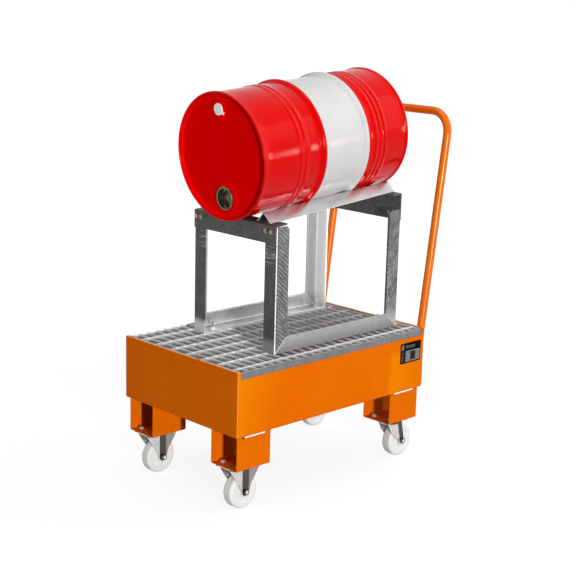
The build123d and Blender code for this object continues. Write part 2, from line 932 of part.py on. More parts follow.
def on_head(offset, turn, depth):
    # A place on the front head, offset along its turned diameter, with local Z pointing out of the drum.
    return Rot(-turn, 0, 0) * Pos(depth, 0, offset) * Rot(0, -90, 0)


def bung_place(depth):
    return on_head(-bung_offset, bung_turn, depth)


def vent_place(depth):
    return on_head(vent_offset, vent_turn, depth)


def octagon_boss(flats):
    outline = RegularPolygon(flats / 2, 8, major_radius=False, rotation=22.5)
    boss = extrude(outline, amount=boss_height)
    return chamfer(boss.faces().sort_by(Axis.Z)[-1].edges(), boss_height * 0.8)


def bung_collar(radius, wall, neck):
    # A threaded ring set in the head.
    ring = extrude(Circle(radius + wall) - Circle(radius), amount=neck)
    rim = ring.edges().filter_by(GeomType.CIRCLE).group_by(Axis.Z)[-1]
    return chamfer(rim, wall / 4)


def make_front_head():
    head = head_blank()
    for place, flats, bore in (
        (bung_place(head_recess), bung_boss_flats, bung_radius + bung_ring),
        (vent_place(head_recess), vent_boss_flats, vent_radius + vent_ring),
    ):
        head += place * octagon_boss(flats)
        head -= place * Cylinder(bore, 4 * head_recess)
    return drum_frame() * head


def collar_base():
    # How deep the bung rings start behind the front rim.
    return head_recess + drum_sheet + bung_depth


def make_bung_rings():
    length = drum_sheet + bung_depth
    bung = bung_place(collar_base()) * bung_collar(bung_radius, bung_ring, length + bung_neck)
    vent = vent_place(collar_base()) * bung_collar(vent_radius, vent_ring, length + vent_neck)
    return drum_frame() * group([bung, vent])


def make_rear_head():
    head = mirror(head_blank(), Plane.YZ)
    return drum_frame() * Pos(drum_length, 0, 0) * head


def make_bung_plug():
    # A cup-shaped screw plug with two lugs inside to turn it by.
    radius = bung_radius - running_fit
    top = drum_sheet + bung_depth + bung_neck
    cup = radius - plug_wall
    plug = extrude(Circle(radius), amount=top)
    plug -= Pos(0, 0, plug_floor) * extrude(Circle(cup), amount=top)
    half = plug_lug / 2
    for side in (-1, 1):
        inner = side * (cup - plug_lug)
        outer = side * (cup + plug_wall / 2)
        plug += block(min(inner, outer), max(inner, outer), -half, half, plug_floor, top - plug_floor)
    plug += extrude(Circle(plug_lug), amount=2 * plug_floor)
    return drum_frame() * bung_place(collar_base()) * plug


def make_vent_cap():
    # A plastic cap with a stem in the vent's ring and a pull tab.
    seat = drum_sheet + bung_depth + vent_neck + body_gap
    stem = extrude(Circle(vent_radius - running_fit), amount=seat)
    crown = Pos(0, 0, seat) * extrude(Circle(cap_radius), amount=cap_height)
    crown = fillet(crown.edges().sort_by(Axis.Z)[-1], cap_height * 0.35)
    half = cap_tab / 2
    tab = block(-half, half, -cap_tab_reach, cap_tab_reach, 0, cap_height * 0.5)
    tab = Rot(0, 0, cap_tab_turn) * Pos(0, cap_radius, seat) * tab
    return drum_frame() * vent_place(collar_base()) * (stem + crown + tab)


# Build and write every piece

side_names = {-1: "left", 1: "right"}
end_places = {"front": -foot_x, "rear": foot_x}
axle_places = {"front": -foot_x, "rear": foot_x + swivel_trail}

save("tray_pan", make_pan())
save("push_handle", make_handle())
save("handle_gussets", make_gussets())
save("label_plate", make_label())

for side, side_name in side_names.items():
    for end, x in end_places.items():
        save(f"foot_{end}_{side_name}", make_foot(x, side))
    save(f"fixed_fork_{side_name}", make_fixed_fork(side))
    save(f"swivel_plate_{side_name}", make_swivel_plate(side))
    save(f"swivel_fork_{side_name}", make_swivel_fork(side))
    save(f"king_pin_{side_name}", make_king_pin(side))
    save(f"swivel_balls_{side_name}", make_swivel_balls(side))
    for end, x in axle_places.items():
        save(f"wheel_{end}_{side_name}", make_wheel(x, side))
    save(f"swivel_axle_tube_{side_name}", make_axle_tube(axle_places["rear"], side))
    save(f"swivel_axle_bolt_{side_name}", make_axle_bolt(axle_places["rear"], side))
    save(f"swivel_axle_nut_{side_name}", make_axle_nut(axle_places["rear"], side))
    for end, x, inward in (("front", stand_front, 1), ("rear", stand_rear, -1)):
        save(f"post_{end}_{side_name}", make_post(x, inward, side))
    save(f"base_rail_{side_name}", make_rail(side))
    save(f"saddle_ridge_{side_name}", make_ridge(side))

save("fixed_axle_tubes", group(make_axle_tube(-foot_x, side) for side in side_names))
save("fixed_axle_bolts", group(make_axle_bolt(-foot_x, side) for side in side_names))
save("fixed_axle_nuts", group(make_axle_nut(-foot_x, side) for side in side_names))

caster_names = ("caster_bolts", "caster_washers", "caster_nuts")
for name, shape in zip(caster_names, make_caster_fasteners()):
    save(name, shape)

save("grating", make_grating())
front_member = make_cross_member(stand_front, 1, front_member_height, front_member_top, front_member_leg)
rear_member = make_cross_member(stand_rear, -1, rear_member_height, rear_member_top, rear_member_leg)
save("cross_member_front", front_member)
save("cross_member_rear", rear_member)

frame_names = ("frame_bolts", "frame_washers", "frame_nuts")
for name, shape in zip(frame_names, make_frame_fasteners()):
    save(name, shape)
clamp_names = ("clamp_studs", "clamp_washers", "clamp_nuts", "clamp_plates")
for name, shape in zip(clamp_names, make_clamp_fasteners()):
    save(name, shape)

save("drum_shell", make_drum_shell())
save("drum_head_front", make_front_head())
save("drum_head_rear", make_rear_head())
save("bung_rings", make_bung_rings())
save("bung_plug", make_bung_plug())
save("vent_cap", make_vent_cap())
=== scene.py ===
import math

import bpy
import numpy as np
from mathutils import Matrix, Vector


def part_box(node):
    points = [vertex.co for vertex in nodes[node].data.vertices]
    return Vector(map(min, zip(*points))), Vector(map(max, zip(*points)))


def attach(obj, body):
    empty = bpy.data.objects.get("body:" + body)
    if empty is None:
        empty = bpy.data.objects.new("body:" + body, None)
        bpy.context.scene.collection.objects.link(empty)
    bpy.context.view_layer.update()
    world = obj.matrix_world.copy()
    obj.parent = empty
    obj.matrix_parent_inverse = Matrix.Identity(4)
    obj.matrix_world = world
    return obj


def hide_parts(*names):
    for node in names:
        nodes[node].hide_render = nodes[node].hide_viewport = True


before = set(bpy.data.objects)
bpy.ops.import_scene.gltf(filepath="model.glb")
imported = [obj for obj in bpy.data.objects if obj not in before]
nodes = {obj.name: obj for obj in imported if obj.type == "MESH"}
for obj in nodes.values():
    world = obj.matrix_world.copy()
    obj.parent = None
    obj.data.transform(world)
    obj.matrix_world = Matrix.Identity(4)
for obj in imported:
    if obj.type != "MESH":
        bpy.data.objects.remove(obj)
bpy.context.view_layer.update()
print("frame loaded:", len(nodes), "nodes")


# small helpers for shader trees

def addNode(tree, kind, inputs=None, **settings):
    # one shader node; sockets in inputs are linked, plain values are set
    node = tree.nodes.new("ShaderNode" + kind)
    for key, value in settings.items():
        setattr(node, key, value)
    for key, value in (inputs or {}).items():
        if isinstance(value, bpy.types.NodeSocket):
            tree.links.new(value, node.inputs[key])
        else:
            node.inputs[key].default_value = value
    return node


def newFinish(name):
    # a material with one Principled shader wired to its output
    finish = bpy.data.materials.new(name)
    finish.use_nodes = True
    tree = finish.node_tree
    tree.nodes.clear()
    shader = addNode(tree, "BsdfPrincipled")
    addNode(tree, "OutputMaterial", {"Surface": shader.outputs[0]})
    place = addNode(tree, "TexCoord").outputs["Object"]
    return finish, tree, shader, place


def noise(tree, place, scale, detail=2.0, rough=0.5, stretch=None, turn=(0, 0, 0)):
    # fractal noise; turned first, then drawn out along each axis by stretch
    if stretch is not None:
        moved = addNode(tree, "Mapping", {"Vector": place, "Rotation": turn, "Scale": stretch}, vector_type="TEXTURE")
        place = moved.outputs[0]
    made = addNode(tree, "TexNoise", {"Vector": place, "Scale": scale, "Detail": detail, "Roughness": rough})
    return made.outputs["Fac"]


def ramp(tree, value, low, high, toLow=0.0, toHigh=1.0):
    # a straight ramp from low to high, clamped at both ends
    made = addNode(tree, "MapRange", {"Value": value, "From Min": low, "From Max": high,
                                      "To Min": toLow, "To Max": toHigh})
    return made.outputs["Result"]


def blendColour(tree, share, first, second):
    # first where share is 0, second where it is 1
    made = addNode(tree, "Mix", data_type="RGBA")
    for socket, value in zip((made.inputs[0], made.inputs[6], made.inputs[7]), (share, first, second)):
        if isinstance(value, bpy.types.NodeSocket):
            tree.links.new(value, socket)
        else:
            socket.default_value = value
    return made.outputs[2]


def maths(tree, operation, first, second=0.0):
    made = addNode(tree, "Math", {0: first, 1: second}, operation=operation)
    return made.outputs[0]


def product(tree, *shares):
    # all shares multiplied together
    made = shares[0]
    for share in shares[1:]:
        made = maths(tree, "MULTIPLY", made, share)
    return made


def axesOf(tree, place):
    # the sockets X, Y and Z of a place
    return addNode(tree, "SeparateXYZ", {0: place}).outputs


def axleDistance(tree, place, axle):
    # how far a place is from an axle, a line along Y
    level = addNode(tree, "VectorMath", {0: place, 1: (1.0, 0.0, 1.0)}, operation="MULTIPLY").outputs[0]
    return addNode(tree, "VectorMath", {0: level, 1: axle["middle"]}, operation="DISTANCE").outputs["Value"]


def relief(tree, shader, height, depth, strength=1.0):
    # bump of the given depth in metres, wired to the shader's normal
    made = addNode(tree, "Bump", {"Height": height, "Distance": depth, "Strength": strength})
    tree.links.new(made.outputs[0], shader.inputs["Normal"])


def rgb(red, green, blue):
    return (red, green, blue, 1.0)


# finishes

# places are in metres: x runs from the front to the rear of the tray, and z up from the floor
powderCoat = {"colour": rgb(0.78, 0.153, 0.0), "shade": rgb(0.74, 0.131, 0.0),
              "peelScale": 520.0, "peelDepth": 0.00006, "patchScale": 6.0,
              "edgeHighlight": rgb(0.85, 0.6, 0.45), "edgeHighlightFrom": 0.4406, "edgeHighlightFade": 0.0003, "edgeHighlightScale": 90.0,
              "corner": (0.468057, 0.26), "cornerWide": 0.003, "bendHighlight": rgb(0.95, 0.3, 0.05),
              "litFront": rgb(0.85, 0.228, 0.0), "litFrontFrom": -0.2, "litFrontLean": 0.3,
              "wallTop": 0.4382, "wallOut": 0.2588,
              "patchFrom": 0.165, "patchPeak": 0.192, "patchTo": 0.34, "patchUnder": (0.045, 0.075),
              "patchEnd": 0.3, "patchShare": 0.75,
              "inside": rgb(0.45, 0.068, 0.0), "skin": 0.001, "open": 0.036, "closed": 0.045}


def paintedWallLight(tree, axes):
    # 0 to 1 on the outer faces of the long walls, painted light: litFront = (share of the way to the front end)^2, less
    # of it lower down, a painted pool of light; and patch = a quick rise and a slow fall towards the rear, below the
    # label's top, a painted reflection
    p = powderCoat
    drop = maths(tree, "SUBTRACT", p["wallTop"], axes["Z"])
    run = maths(tree, "ADD", maths(tree, "MULTIPLY", drop, p["litFrontLean"]), axes["X"])
    litFront = ramp(tree, run, p["litFrontFrom"], -p["corner"][0])
    rise = ramp(tree, axes["X"], p["patchFrom"], p["patchPeak"])
    fall = ramp(tree, axes["X"], p["patchPeak"], p["patchTo"], 1.0, p["patchEnd"])
    under = ramp(tree, drop, *p["patchUnder"], 0.0, p["patchShare"])
    patch = product(tree, rise, fall, under)
    wall = maths(tree, "GREATER_THAN", maths(tree, "ABSOLUTE", axes["Y"]), p["wallOut"])
    return product(tree, maths(tree, "MAXIMUM", product(tree, litFront, litFront), patch), wall)


def cornerBends(tree, axes):
    # 0 to 1: both x and y within cornerWide of the front corners, where the bends carry a painted highlight
    wide = powderCoat["cornerWide"]
    bends = [ramp(tree, maths(tree, "ABSOLUTE", axes[axis]), reach - wide, reach - wide * 0.6)
             for axis, reach in zip("XY", powderCoat["corner"])]
    return product(tree, *bends)


def channelInside(tree, axes, channels):
    # 0 to 1, the mask of the painted shade: inside the feet, between the side flanges and above the base, away from the
    # open ends
    p = powderCoat
    away = 1.0
    for low, high in channels:
        along = maths(tree, "SUBTRACT", axes["X"], (low[0] + high[0]) / 2)
        away = maths(tree, "MINIMUM", maths(tree, "ABSOLUTE", along), away)
    end, half = (high[0] - low[0]) / 2, (high[1] - low[1]) / 2
    deep = ramp(tree, away, end - p["open"], end - p["closed"])
    across = maths(tree, "SUBTRACT", maths(tree, "ABSOLUTE", axes["Y"]), abs(low[1] + high[1]) / 2)
    within = maths(tree, "LESS_THAN", maths(tree, "ABSOLUTE", across), half - p["skin"])
    above = maths(tree, "GREATER_THAN", axes["Z"], low[2] + p["skin"])
    return product(tree, within, above, deep)


def orangePaint(name, gloss, specular, tint, onPan=False, channels=()):
    # powder coat: fine orange peel and faint cloudy patches; on the pan painted light on the long walls, a painted
    # highlight on the front corners, and a painted highlight along the top edges; channels are the boxes of a front and
    # a rear foot, whose insides get painted shade
    finish, tree, shader, place = newFinish(name)
    p = powderCoat
    patch = noise(tree, place, p["patchScale"], 4.0, 0.55)
    colour = blendColour(tree, ramp(tree, patch, 0.35, 0.7), p["colour"], p["shade"])
    if onPan:
        axes = axesOf(tree, place)
        # painted light on the long walls: paler towards the front end, and a painted reflection lower down towards the
        # rear
        colour = blendColour(tree, paintedWallLight(tree, axes), colour, p["litFront"])
        # painted highlight on the front corner bends
        colour = blendColour(tree, cornerBends(tree, axes), colour, p["bendHighlight"])
        # painted highlight along the top edges of the walls, broken up by noise
        top = ramp(tree, axes["Z"], p["edgeHighlightFrom"], p["edgeHighlightFrom"] + p["edgeHighlightFade"])
        patchy = ramp(tree, noise(tree, place, p["edgeHighlightScale"], 3.0), 0.3, 0.5)
        colour = blendColour(tree, product(tree, top, patchy), colour, p["edgeHighlight"])
    if channels:
        # painted shade inside the feet, darker away from the open ends
        colour = blendColour(tree, channelInside(tree, axesOf(tree, place), channels), colour, p["inside"])
    tree.links.new(colour, shader.inputs["Base Color"])
    peel = noise(tree, place, p["peelScale"], 1.0)
    tree.links.new(ramp(tree, patch, 0.3, 0.7, gloss - 0.05, gloss + 0.08), shader.inputs["Roughness"])
    shader.inputs["Specular IOR Level"].default_value = specular
    shader.inputs["Specular Tint"].default_value = tint
    relief(tree, shader, peel, p["peelDepth"], 0.6)
    return finish


zincCells = {"size": 95.0, "mottle": 28.0, "strokeWander": 7.0, "strokeDetail": 0.35, "strokePatch": 55.0}


def hatch(tree, place, spacing, slant):
    # 0 to 1: parallel strokes that slant across X and Z, one for every spacing in metres, wandering and uneven
    turn = (0, math.radians(slant), 0)
    moved = addNode(tree, "Mapping", {"Vector": place, "Rotation": turn}, vector_type="TEXTURE")
    waves = addNode(tree, "TexWave", {"Vector": moved.outputs[0], "Scale": math.pi / (10 * spacing), "Detail": 3.0,
                                      "Distortion": zincCells["strokeWander"],
                                      "Detail Scale": zincCells["strokeDetail"]},
                    wave_type="BANDS", bands_direction="X")
    uneven = ramp(tree, noise(tree, place, zincCells["strokePatch"], 3.0), 0.38, 0.62, 0.1, 1.0)
    return product(tree, ramp(tree, waves.outputs["Fac"], 0.45, 0.95), uneven)


def zincTone(tree, place, spangle, brush=0.0, slant=0.0, spacing=0.009):
    # 0 to 1: crystal cells of slightly different grey, dull mottling and slanting strokes
    cells = addNode(tree, "TexVoronoi", {"Vector": place, "Scale": zincCells["size"], "Randomness": 1.0},
                    feature="F1")
    cellGrey = addNode(tree, "SeparateColor", {0: cells.outputs["Color"]}).outputs[0]
    mottle = noise(tree, place, zincCells["mottle"], 5.0, 0.6)
    tone = product(tree, cellGrey, spangle)
    tone = maths(tree, "ADD", tone, ramp(tree, mottle, 0.3, 0.7, 0.0, 0.35))
    if brush > 0:
        tone = maths(tree, "ADD", tone, product(tree, hatch(tree, place, spacing, slant), brush))
    return tone


def zincFinish(tree, shader, tone, colour, metal, gloss):
    # wires colour and tone of a zinc coat to its shader; pale crystals are a little glossier
    tree.links.new(colour, shader.inputs["Base Color"])
    shader.inputs["Metallic"].default_value = metal
    shader.inputs["Specular IOR Level"].default_value = 0.3
    tree.links.new(ramp(tree, tone, 0.0, 1.0, gloss + 0.1, gloss - 0.08), shader.inputs["Roughness"])
    relief(tree, shader, tone, 0.00008, 0.4)


def galvanised(name, dark, pale, metal, gloss, spangle=0.35, brush=0.0, slant=0.0):
    # hot dip zinc on rolled steel
    finish, tree, shader, place = newFinish(name)
    tone = ramp(tree, zincTone(tree, place, spangle, brush, slant), 0.0, 1.0)
    zincFinish(tree, shader, tone, blendColour(tree, tone, dark, pale), metal, gloss)
    return finish


# front posts: where their faces lie and the greys of each flange, in metres
frontPost = {"face": -0.256057, "sheet": 0.0055, "side": 0.184, "corner": 0.0032, "cornerHighlight": rgb(0.95, 0.95, 0.94),
             "sideDark": rgb(0.055, 0.055, 0.055), "sidePale": rgb(0.3, 0.3, 0.3), "litFarSide": rgb(0.5, 0.5, 0.495),
             "faceDark": rgb(0.04, 0.039, 0.037), "facePale": rgb(0.135, 0.135, 0.13), "scuff": rgb(0.4, 0.4, 0.4),
             "scuffFrom": 0.705, "scuffTo": 0.77, "scuffFade": 0.012, "foot": rgb(0.25, 0.25, 0.25),
             "farFoot": rgb(0.6, 0.6, 0.6), "footTop": 0.487, "footLow": 0.466,
             "brush": 0.9, "slant": -52.0, "spacing": 0.0105, "middle": 0.01}


def frontPostZinc():
    # front flange far darker than the side flange as painted shade, with level scuffs and a paler foot; hatched side
    # flange, paler on the far post as painted light; and a painted highlight along the rolled corner
    finish, tree, shader, place = newFinish("frontPostZinc")
    p = frontPost
    axes = axesOf(tree, place)
    grain = ramp(tree, zincTone(tree, place, 0.2), 0.0, 1.0)
    tone = ramp(tree, zincTone(tree, place, 0.15, p["brush"], p["slant"], p["spacing"]), 0.0, 1.0)
    onFar = ramp(tree, axes["Y"], -p["middle"], p["middle"])
    side = blendColour(tree, tone, p["sideDark"], p["sidePale"])
    # painted light: the far post's side flange is paler
    side = blendColour(tree, onFar, side, p["litFarSide"])
    # painted shade: the front flange's greys are far darker than the side flange's
    face = blendColour(tree, grain, p["faceDark"], p["facePale"])
    level = ramp(tree, noise(tree, place, 260.0, 3.0, 0.6, (1.0, 14.0, 1.0)), 0.52, 0.66)
    started = ramp(tree, axes["Z"], p["scuffFrom"], p["scuffFrom"] + p["scuffFade"])
    ended = ramp(tree, axes["Z"], p["scuffTo"], p["scuffTo"] - p["scuffFade"])
    face = blendColour(tree, product(tree, level, started, ended), face, p["scuff"])
    foot = blendColour(tree, onFar, p["foot"], p["farFoot"])
    face = blendColour(tree, ramp(tree, axes["Z"], p["footTop"], p["footLow"]), face, foot)
    onFace = ramp(tree, axes["X"], p["face"] + p["sheet"], p["face"] + p["sheet"] * 0.9)
    colour = blendColour(tree, onFace, side, face)
    # painted highlight along the rolled corner, broken up by noise
    nearFront = ramp(tree, axes["X"], p["face"] + p["corner"], p["face"] + p["corner"] * 0.6)
    outward = maths(tree, "ABSOLUTE", axes["Y"])
    nearSide = ramp(tree, outward, p["side"] - p["corner"], p["side"] - p["corner"] * 0.6)
    patchy = ramp(tree, noise(tree, place, 130.0, 3.0), 0.3, 0.5, 0.45, 1.0)
    edgeHighlight = product(tree, nearFront, nearSide, patchy)
    zincFinish(tree, shader, tone, blendColour(tree, edgeHighlight, colour, p["cornerHighlight"]), 0.12, 0.4)
    return finish


# rear left post: blotched above, hatched below and pale at the foot
rearPost = {"dark": rgb(0.035, 0.035, 0.035), "pale": rgb(0.34, 0.34, 0.34), "foot": rgb(0.6, 0.6, 0.6),
            "hatchFrom": 0.76, "hatchFull": 0.66, "footTop": 0.51, "footLow": 0.46, "slant": 44.0, "spacing": 0.0095}


def rearPostZinc():
    finish, tree, shader, place = newFinish("rearPostZinc")
    p = rearPost
    height = axesOf(tree, place)["Z"]
    lasting = ramp(tree, height, p["hatchFrom"], p["hatchFull"], 0.2, 1.0)
    strokes = product(tree, hatch(tree, place, p["spacing"], p["slant"]), lasting)
    tone = ramp(tree, maths(tree, "ADD", zincTone(tree, place, 0.2), strokes), 0.0, 1.0)
    colour = blendColour(tree, tone, p["dark"], p["pale"])
    paler = ramp(tree, height, p["footTop"], p["footLow"], 0.0, 0.7)
    zincFinish(tree, shader, tone, blendColour(tree, paler, colour, p["foot"]), 0.2, 0.38)
    return finish


# rear right post, painted reflection: the flange across the stand is near white, far paler than the flange along it
palePost = {"acrossFrom": 0.2785, "fade": 0.0004, "dark": rgb(0.9, 0.92, 0.89), "pale": rgb(0.98, 0.99, 0.97),
            "alongDark": rgb(0.34, 0.335, 0.34), "alongPale": rgb(0.46, 0.45, 0.46)}


def palePostZinc():
    finish, tree, shader, place = newFinish("palePostZinc")
    tone = ramp(tree, zincTone(tree, place, 0.35, 0.2, -20.0), 0.0, 1.0)
    # painted reflection on the flange across the stand
    bright = blendColour(tree, tone, palePost["dark"], palePost["pale"])
    alongFlange = blendColour(tree, tone, palePost["alongDark"], palePost["alongPale"])
    line, fade = palePost["acrossFrom"], palePost["fade"]
    onAcross = ramp(tree, axesOf(tree, place)["X"], line - fade, line + fade)
    zincFinish(tree, shader, tone, blendColour(tree, onAcross, alongFlange, bright), 0.5, 0.32)
    return finish


deckTone = {"edgeFrom": 0.2578, "edgeDark": rgb(0.14, 0.14, 0.145), "edgePale": rgb(0.21, 0.21, 0.215),
            "barDark": rgb(0.86, 0.92, 0.93), "barPale": rgb(0.97, 1.0, 1.0), "top": 0.4382, "unshaded": 0.002,
            "deep": 0.014, "cellShade": rgb(0.4, 0.57, 0.61)}


def deckZinc():
    # grating, painted light: the thin bars near white and cool, far paler than the outer faces of the long edge bars;
    # lower down the bars darker and bluer as painted shade, which also offsets the orange light bounced from the pan
    finish, tree, shader, place = newFinish("deckZinc")
    tone = ramp(tree, zincTone(tree, place, 0.5), 0.0, 1.0)
    bars = blendColour(tree, tone, deckTone["barDark"], deckTone["barPale"])
    edges = blendColour(tree, tone, deckTone["edgeDark"], deckTone["edgePale"])
    axes = axesOf(tree, place)
    # painted shade: lower down the bars turn darker and bluer
    sunk = ramp(tree, axes["Z"], deckTone["top"] - deckTone["unshaded"], deckTone["top"] - deckTone["deep"])
    bars = blendColour(tree, sunk, bars, deckTone["cellShade"])
    # a lit and a shaded copy of one zinc: the outer faces of the long edge bars are far darker than the bars
    outside = maths(tree, "GREATER_THAN", maths(tree, "ABSOLUTE", axes["Y"]), deckTone["edgeFrom"])
    tree.links.new(blendColour(tree, outside, bars, edges), shader.inputs["Base Color"])
    shader.inputs["Metallic"].default_value = 0.4
    tree.links.new(ramp(tree, tone, 0.0, 1.0, 0.5, 0.36), shader.inputs["Roughness"])
    relief(tree, shader, tone, 0.00006, 0.5)
    return finish


def platedSteel(name, colour, second, gloss, metal=0.9, rib=None, wing=None, axle=None):
    # electroplated fittings: thin cloudy tint and fine rolled grain; rib is the pressed rib of a fork's legs, given a
    # painted dark reflection, wing the rear half of a fork, painted darker as painted shade, and axle the line about
    # which a bolt head's rim is painted dark as painted shade
    finish, tree, shader, place = newFinish(name)
    cloud = noise(tree, place, 65.0, 3.0)
    tint = blendColour(tree, ramp(tree, cloud, 0.35, 0.65), colour, second)
    if wing is not None:
        behind = ramp(tree, axesOf(tree, place)["X"], wing["from"], wing["from"] + wing["fade"])
        tint = blendColour(tree, behind, tint, wing["colour"])
    if axle is not None:
        rim = ramp(tree, axleDistance(tree, place, axle), axle["bright"], axle["bright"] + axle["fade"])
        tint = blendColour(tree, rim, tint, axle["colour"])
    if rib is not None:
        across = maths(tree, "ABSOLUTE", axesOf(tree, place)["Y"])
        proud = maths(tree, "ABSOLUTE", maths(tree, "SUBTRACT", across, rib["middle"]))
        tint = blendColour(tree, ramp(tree, proud, rib["out"], rib["out"] + rib["fade"]), tint, rib["colour"])
    tree.links.new(tint, shader.inputs["Base Color"])
    shader.inputs["Metallic"].default_value = metal
    grain = noise(tree, place, 140.0, 2.0, 0.6, (1.0, 1.0, 6.0))
    tree.links.new(ramp(tree, grain, 0.3, 0.7, gloss - 0.07, gloss + 0.1), shader.inputs["Roughness"])
    relief(tree, shader, grain, 0.00003, 0.4)
    return finish


nylonTone = {"milky": rgb(0.81, 0.815, 0.8), "flow": rgb(0.77, 0.775, 0.755), "tread": rgb(0.84, 0.82, 0.76),
             "treadFrom": 0.0526, "treadFull": 0.0536}


def nylon():
    # cast polyamide: milky white, faint flow marks and a dusty tread
    finish, tree, shader, place = newFinish("whiteNylon")
    flow = noise(tree, place, 40.0, 3.0, 0.6)
    tint = blendColour(tree, ramp(tree, flow, 0.35, 0.7), nylonTone["milky"], nylonTone["flow"])
    away = maths(tree, "MINIMUM", *(axleDistance(tree, place, axle) for axle in (frontAxle, rearAxle)))
    onTread = ramp(tree, away, nylonTone["treadFrom"], nylonTone["treadFull"])
    dust = product(tree, onTread, ramp(tree, noise(tree, place, 220.0, 4.0, 0.65), 0.3, 0.6, 0.35, 1.0))
    tree.links.new(blendColour(tree, dust, tint, nylonTone["tread"]), shader.inputs["Base Color"])
    fine = noise(tree, place, 450.0, 2.0)
    tree.links.new(ramp(tree, fine, 0.3, 0.7, 0.32, 0.48), shader.inputs["Roughness"])
    shader.inputs["Specular IOR Level"].default_value = 0.35
    shader.inputs["Subsurface Weight"].default_value = 0.1
    shader.inputs["Subsurface Radius"].default_value = (0.002, 0.002, 0.0018)
    relief(tree, shader, flow, 0.00012, 0.4)
    return finish


# bandFrom and bandTo are metres along the drum from its front rim
drumCoat = {"red": rgb(0.7, 0.0001, 0.0001), "deepRed": rgb(0.67, 0.0001, 0.0001),
            "headRed": rgb(0.9, 0.0001, 0.0001), "headDeep": rgb(0.88, 0.0001, 0.0001),
            "white": rgb(0.68, 0.68, 0.672), "greyWhite": rgb(0.64, 0.64, 0.632), "tint": rgb(1.0, 0.42, 0.42),
            "bodyGloss": 0.12, "headGloss": 0.008, "bandFrom": 0.256, "bandTo": 0.441,
            "bandFade": 0.0008, "bandWander": 0.0006}


def enamel(name, banded):
    # gloss enamel: red, paler on the heads as painted light, and on the banded drum body a white band round the middle
    finish, tree, shader, place = newFinish(name)
    patch = noise(tree, place, 9.0, 3.0, 0.55)
    cloudy = ramp(tree, patch, 0.3, 0.7)
    # painted light: the heads' red is paler than the body's
    coats = ("red", "deepRed") if banded else ("headRed", "headDeep")
    colour = blendColour(tree, cloudy, *(drumCoat[coat] for coat in coats))
    if banded:
        started = addNode(tree, "VectorMath", {0: place, 1: drumAxis["start"]}, operation="SUBTRACT")
        along = addNode(tree, "VectorMath", {0: started.outputs[0], 1: drumAxis["along"]}, operation="DOT_PRODUCT")
        wide = drumCoat["bandWander"]
        wander = ramp(tree, noise(tree, place, 60.0, 2.0), 0.0, 1.0, -wide, wide)
        run = maths(tree, "ADD", along.outputs["Value"], wander)
        after = ramp(tree, run, drumCoat["bandFrom"], drumCoat["bandFrom"] + drumCoat["bandFade"])
        before = ramp(tree, run, drumCoat["bandTo"] + drumCoat["bandFade"], drumCoat["bandTo"])
        white = blendColour(tree, cloudy, drumCoat["white"], drumCoat["greyWhite"])
        colour = blendColour(tree, product(tree, after, before), colour, white)
    tree.links.new(colour, shader.inputs["Base Color"])
    peel = noise(tree, place, 160.0, 2.0)
    tree.links.new(ramp(tree, patch, 0.3, 0.7, 0.1, 0.16), shader.inputs["Roughness"])
    shader.inputs["Specular IOR Level"].default_value = drumCoat["bodyGloss"] if banded else drumCoat["headGloss"]
    shader.inputs["Specular Tint"].default_value = drumCoat["tint"]
    relief(tree, shader, peel, 0.00003, 0.3)
    return finish


def moulded(name, colour, second, gloss):
    # injection moulded plastic with a fine grain
    finish, tree, shader, place = newFinish(name)
    cloud = noise(tree, place, 90.0, 3.0)
    tree.links.new(blendColour(tree, ramp(tree, cloud, 0.35, 0.7), colour, second), shader.inputs["Base Color"])
    grain = noise(tree, place, 900.0, 2.0)
    tree.links.new(ramp(tree, grain, 0.3, 0.7, gloss, gloss + 0.12), shader.inputs["Roughness"])
    relief(tree, shader, grain, 0.00002, 0.3)
    return finish


# blank panels of the label plate: left, right, low, high as shares of the plate, the panel's grey, and ruled or plain
labelLook = {"ground": rgb(0.002, 0.002, 0.0022), "patchy": rgb(0.004, 0.004, 0.0043), "rule": 0.0042,
             "panels": [((0.05, 0.17, 0.66, 0.93), 0.16, False), ((0.25, 0.72, 0.72, 0.88), 0.12, True),
                        ((0.06, 0.16, 0.08, 0.58), 0.1, True), ((0.25, 0.96, 0.07, 0.6), 0.31, True),
                        ((0.49, 0.74, 0.14, 0.54), 0.02, False)]}


def labelFoil():
    # printed foil with plain and ruled panels
    finish, tree, shader, place = newFinish("labelFoil")
    low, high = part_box("label_plate")
    cloud = noise(tree, place, 90.0, 3.0)
    colour = blendColour(tree, ramp(tree, cloud, 0.35, 0.7), labelLook["ground"], labelLook["patchy"])
    axes = axesOf(tree, place)
    rows = maths(tree, "FRACT", maths(tree, "DIVIDE", axes["Z"], labelLook["rule"]))
    ruled = ramp(tree, maths(tree, "ABSOLUTE", maths(tree, "SUBTRACT", rows, 0.5)), 0.16, 0.3, 1.0, 0.35)
    for (left, right, under, over), grey, hasRules in labelLook["panels"]:
        inside = [ruled] if hasRules else []
        for axis, first, last in (("X", left, right), ("Z", under, over)):
            index = "XYZ".index(axis)
            begin = low[index] + (high[index] - low[index]) * first
            stop = low[index] + (high[index] - low[index]) * last
            reach = {0: axes[axis], 1: (begin + stop) / 2, 2: (stop - begin) / 2}
            inside.append(addNode(tree, "Math", reach, operation="COMPARE").outputs[0])
        colour = blendColour(tree, product(tree, *inside), colour, rgb(grey, grey, grey))
    tree.links.new(colour, shader.inputs["Base Color"])
    shader.inputs["Specular IOR Level"].default_value = 0.02
    grain = noise(tree, place, 900.0, 2.0)
    tree.links.new(ramp(tree, grain, 0.3, 0.7, 0.5, 0.62), shader.inputs["Roughness"])
    relief(tree, shader, grain, 0.00002, 0.3)
    return finish


drumSlope = math.radians(4.85)
drumAxis = {"start": (-0.319423, 0.0, 1.01138), "along": (math.cos(drumSlope), 0.0, math.sin(drumSlope)),
            "upward": (-math.sin(drumSlope), 0.0, math.cos(drumSlope))}

